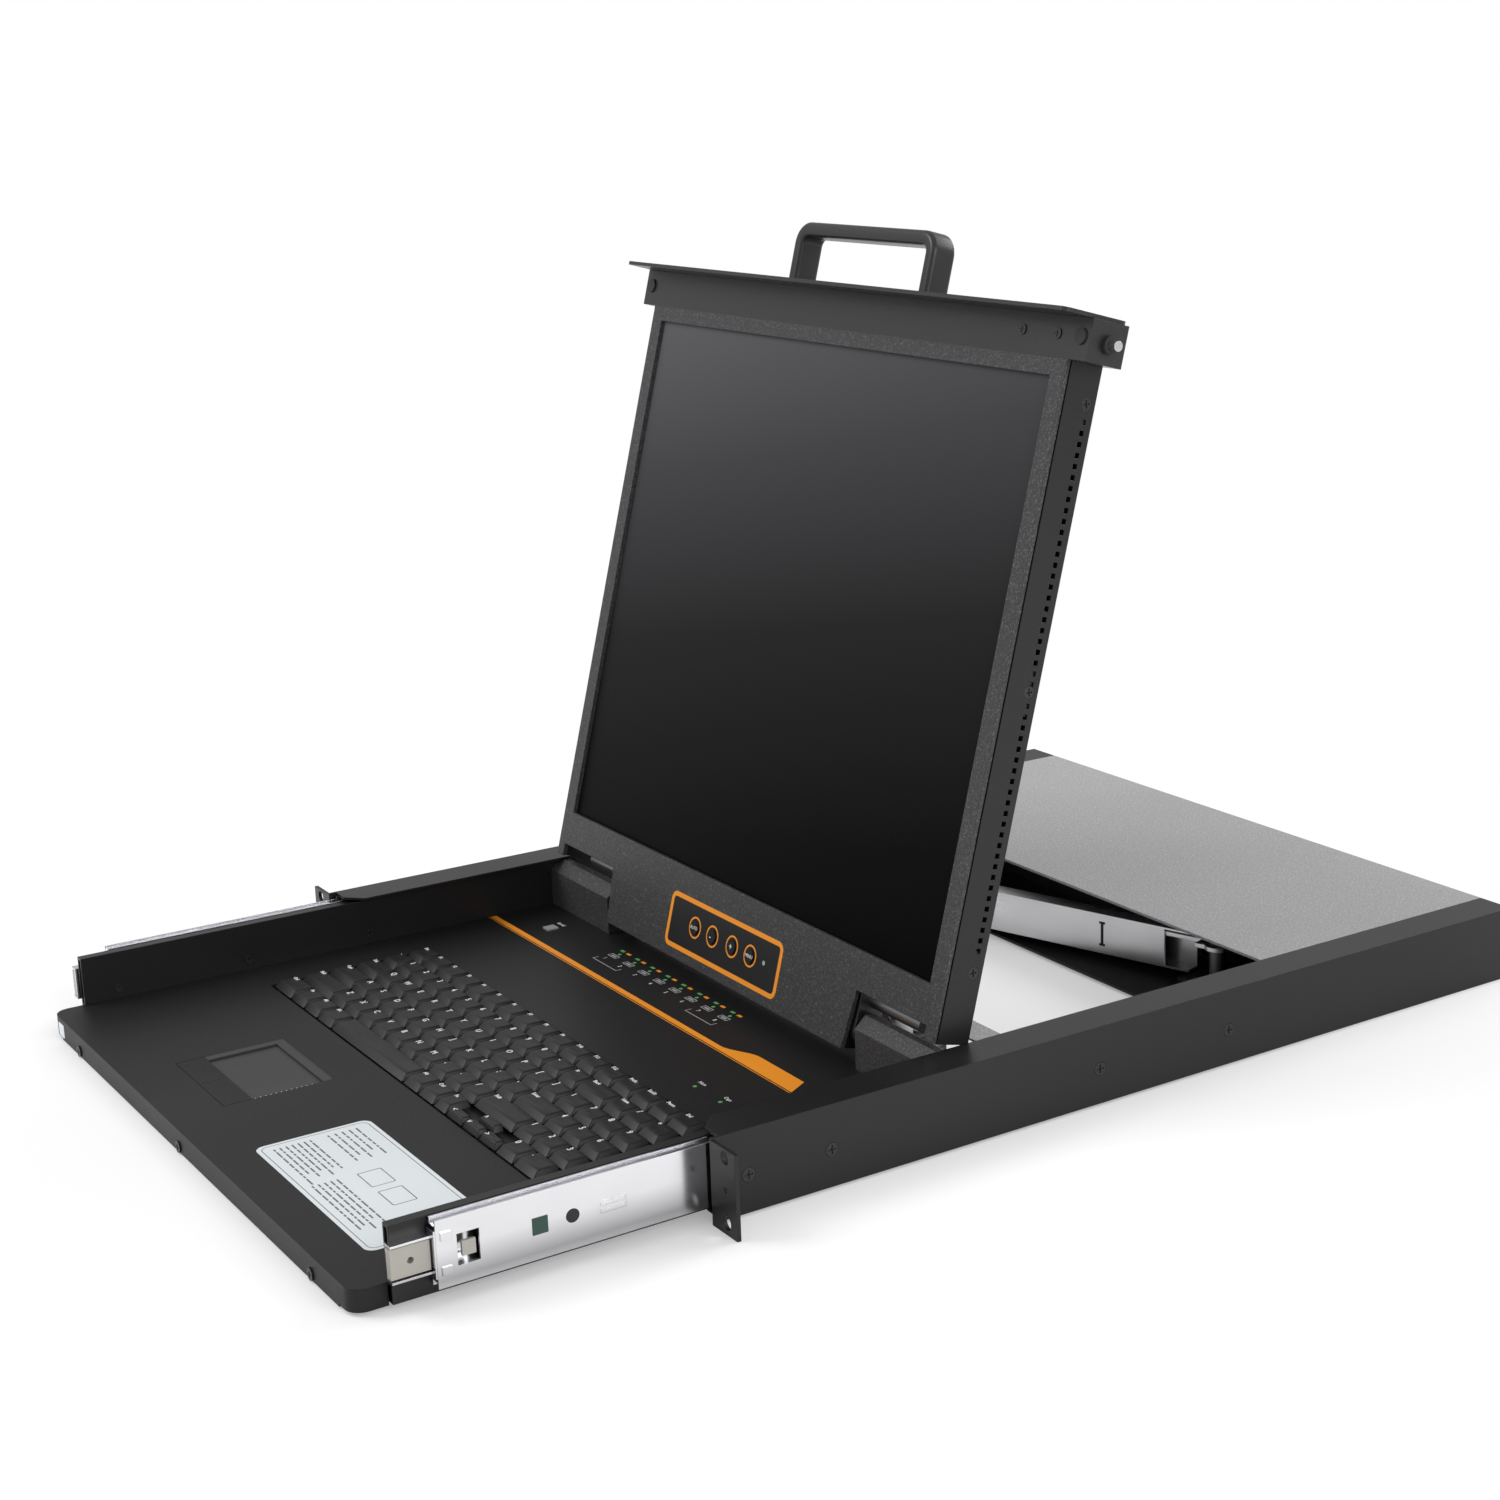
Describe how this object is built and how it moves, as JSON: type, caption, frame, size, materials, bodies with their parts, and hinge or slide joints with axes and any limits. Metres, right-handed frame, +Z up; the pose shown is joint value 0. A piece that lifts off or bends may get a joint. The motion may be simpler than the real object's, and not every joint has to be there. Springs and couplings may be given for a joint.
{
  "type": "rack console",
  "caption": "Low rack drawer with keyboard and touchpad, a tilting display, telescopic ball slides, rack ears and a folding cable arm.",
  "frame": {"origin": "centre of the rack-ear bolt pattern, on the front face of the ears", "axes": "+X to the right seen from the front, +Y into the rack, +Z up"},
  "size_m": [0.4826, 0.6968, 0.4256],
  "materials": {
    "black_sheet": "semi-matte black powder coat",
    "speckled_sheet": "black powder coat with a fine speckled texture",
    "slide_steel": "bright zinc-plated steel",
    "plain_steel": "zinc-plated steel",
    "dark_screw": "black zinc-plated steel",
    "circuit_board": "green solder resist",
    "port_shell": "blue moulded plastic",
    "black_plastic": "matte black plastic",
    "key_plastic": "matte dark grey key caps with white legends",
    "nylon": "white nylon",
    "screen_face": "dark glossy display glass",
    "panel_metal": "plain metal display frame"
  },
  "bodies": {
    "chassis": {"side_channels": "black_sheet", "chassis_screws": "dark_screw", "rear_top_cover": "speckled_sheet", "bottom_pan": "black_sheet", "rear_panel": "black_sheet", "kvm_board": "circuit_board", "rear_ports": "port_shell", "power_supply": "plain_steel", "power_inlet": "black_plastic", "latch_keepers": "plain_steel", "fixed_slides": "slide_steel", "arm_bracket_rear": "plain_steel"},
    "middle_slide_pair": {"middle_slides": "slide_steel"},
    "outer_cage_set": {"ball_cages_outer": "plain_steel"},
    "inner_cage_set": {"ball_cages_inner": "plain_steel"},
    "drawer": {"deck_tray": "black_sheet", "front_corners": "black_plastic", "drawer_walls": "black_sheet", "drawer_floor": "black_sheet", "drawer_screws": "dark_screw", "drawer_rear_cover": "speckled_sheet", "hinge_blocks": "black_sheet", "hinge_pins": "plain_steel", "inner_slides": "slide_steel", "slide_bumpers": "nylon", "arm_bracket_drawer": "plain_steel", "keyboard_base": "black_plastic", "touchpad": "black_plastic", "indicator_board": "circuit_board"},
    "display": {"lcd_bezel": "black_sheet", "screen_glass": "screen_face", "display_panel": "panel_metal", "driver_board": "circuit_board", "lcd_back_shell": "black_sheet", "display_screws": "dark_screw", "hinge_arms": "plain_steel", "osd_board": "circuit_board", "top_cap": "black_sheet", "cap_bumpers": "black_plastic", "front_plate": "black_sheet", "handle": "black_sheet"},
    "rocker": {"power_rocker": "black_plastic"},
    "rear_link": {"arm_link_rear": "slide_steel"},
    "front_link": {"arm_link_front": "slide_steel"},
    "bank_key": {"bank_button": "black_plastic"},
    "left_pad_button": {"touch_button_left": "black_plastic"},
    "right_pad_button": {"touch_button_right": "black_plastic"},
    "left_latch": {"latch_pin_left": "plain_steel"},
    "right_latch": {"latch_pin_right": "plain_steel"},
    "keys_1": {"key_row_1": "key_plastic"},
    "keys_2": {"key_row_2": "key_plastic"},
    "keys_3": {"key_row_3": "key_plastic"},
    "keys_4": {"key_row_4": "key_plastic"},
    "keys_5": {"key_row_5": "key_plastic"},
    "keys_6": {"key_row_6": "key_plastic"},
    "space_key": {"space_bar": "key_plastic"},
    "menu_button_1": {"osd_button_1": "black_plastic"},
    "menu_button_2": {"osd_button_2": "black_plastic"},
    "menu_button_3": {"osd_button_3": "black_plastic"},
    "menu_button_4": {"osd_button_4": "black_plastic"}
  },
  "joints": [
    {"name": "drawer_slide", "type": "slide", "parent": "chassis", "child": "drawer", "axis": [0, 1, 0], "range_m": [-0.185, 0.18]},
    {"name": "middle_slide", "type": "slide", "parent": "chassis", "child": "middle_slide_pair", "axis": [0, 1, 0], "range_m": [-0.129, 0.126]},
    {"name": "outer_cage_roll", "type": "slide", "parent": "chassis", "child": "outer_cage_set", "axis": [0, 1, 0], "range_m": [-0.065, 0.063]},
    {"name": "inner_cage_roll", "type": "slide", "parent": "chassis", "child": "inner_cage_set", "axis": [0, 1, 0], "range_m": [-0.158, 0.154]},
    {"name": "display_hinge", "type": "hinge", "parent": "drawer", "child": "display", "pos_m": [0, 0.1452, 0.0083], "axis": [1, 0, 0], "range_deg": [-12, 104.5]},
    {"name": "power_rocker_turn", "type": "hinge", "parent": "chassis", "child": "rocker", "pos_m": [-0.126, 0.516, 0.0025], "axis": [1, 0, 0], "range_deg": [-8, 8]},
    {"name": "rear_link_turn", "type": "hinge", "parent": "chassis", "child": "rear_link", "pos_m": [0.135, 0.38, 0.005], "axis": [0, 0, 1], "range_deg": [-20, 20]},
    {"name": "elbow_turn", "type": "hinge", "parent": "rear_link", "child": "front_link", "pos_m": [-0.16829, 0.27793, 0.004], "axis": [0, 0, 1], "range_deg": [-40, 40]},
    {"name": "key_row_1_press", "type": "slide", "parent": "drawer", "child": "keys_1", "axis": [0, 0, -1], "range_m": [0, 0.0022], "stiffness_N_per_m": 400, "springref_m": -0.002},
    {"name": "key_row_2_press", "type": "slide", "parent": "drawer", "child": "keys_2", "axis": [0, 0, -1], "range_m": [0, 0.0022], "stiffness_N_per_m": 400, "springref_m": -0.002},
    {"name": "key_row_3_press", "type": "slide", "parent": "drawer", "child": "keys_3", "axis": [0, 0, -1], "range_m": [0, 0.0022], "stiffness_N_per_m": 400, "springref_m": -0.002},
    {"name": "key_row_4_press", "type": "slide", "parent": "drawer", "child": "keys_4", "axis": [0, 0, -1], "range_m": [0, 0.0022], "stiffness_N_per_m": 400, "springref_m": -0.002},
    {"name": "key_row_5_press", "type": "slide", "parent": "drawer", "child": "keys_5", "axis": [0, 0, -1], "range_m": [0, 0.0022], "stiffness_N_per_m": 400, "springref_m": -0.002},
    {"name": "key_row_6_press", "type": "slide", "parent": "drawer", "child": "keys_6", "axis": [0, 0, -1], "range_m": [0, 0.0022], "stiffness_N_per_m": 400, "springref_m": -0.002},
    {"name": "space_bar_press", "type": "slide", "parent": "drawer", "child": "space_key", "axis": [0, 0, -1], "range_m": [0, 0.0022], "stiffness_N_per_m": 200, "springref_m": -0.002},
    {"name": "left_pad_button_press", "type": "slide", "parent": "drawer", "child": "left_pad_button", "axis": [0, 0, -1], "range_m": [0, 0.0008], "stiffness_N_per_m": 300, "springref_m": -0.001},
    {"name": "right_pad_button_press", "type": "slide", "parent": "drawer", "child": "right_pad_button", "axis": [0, 0, -1], "range_m": [0, 0.0008], "stiffness_N_per_m": 300, "springref_m": -0.001},
    {"name": "bank_button_press", "type": "slide", "parent": "drawer", "child": "bank_key", "axis": [0, 0, -1], "range_m": [0, 0.0005], "stiffness_N_per_m": 300, "springref_m": -0.001},
    {"name": "menu_button_1_press", "type": "slide", "parent": "display", "child": "menu_button_1", "axis": [0, 0.9681, -0.2504], "range_m": [0, 0.0007], "stiffness_N_per_m": 300, "springref_m": -0.001},
    {"name": "menu_button_2_press", "type": "slide", "parent": "display", "child": "menu_button_2", "axis": [0, 0.9681, -0.2504], "range_m": [0, 0.0007], "stiffness_N_per_m": 300, "springref_m": -0.001},
    {"name": "menu_button_3_press", "type": "slide", "parent": "display", "child": "menu_button_3", "axis": [0, 0.9681, -0.2504], "range_m": [0, 0.0007], "stiffness_N_per_m": 300, "springref_m": -0.001},
    {"name": "menu_button_4_press", "type": "slide", "parent": "display", "child": "menu_button_4", "axis": [0, 0.9681, -0.2504], "range_m": [0, 0.0007], "stiffness_N_per_m": 300, "springref_m": -0.001},
    {"name": "left_latch_press", "type": "slide", "parent": "display", "child": "left_latch", "axis": [1, 0, 0], "range_m": [0, 0.006], "stiffness_N_per_m": 300, "springref_m": -0.003},
    {"name": "right_latch_press", "type": "slide", "parent": "display", "child": "right_latch", "axis": [-1, 0, 0], "range_m": [0, 0.006], "stiffness_N_per_m": 300, "springref_m": -0.003}
  ],
  "couplings": [
    {"joint": "middle_slide", "follows": "drawer_slide", "ratio": 0.69},
    {"joint": "outer_cage_roll", "follows": "drawer_slide", "ratio": 0.345},
    {"joint": "inner_cage_roll", "follows": "drawer_slide", "ratio": 0.845},
    {"joint": "rear_link_turn", "follows": "drawer_slide", "rad_per_m": -1.67},
    {"joint": "elbow_turn", "follows": "drawer_slide", "rad_per_m": 3.34}
  ]
}
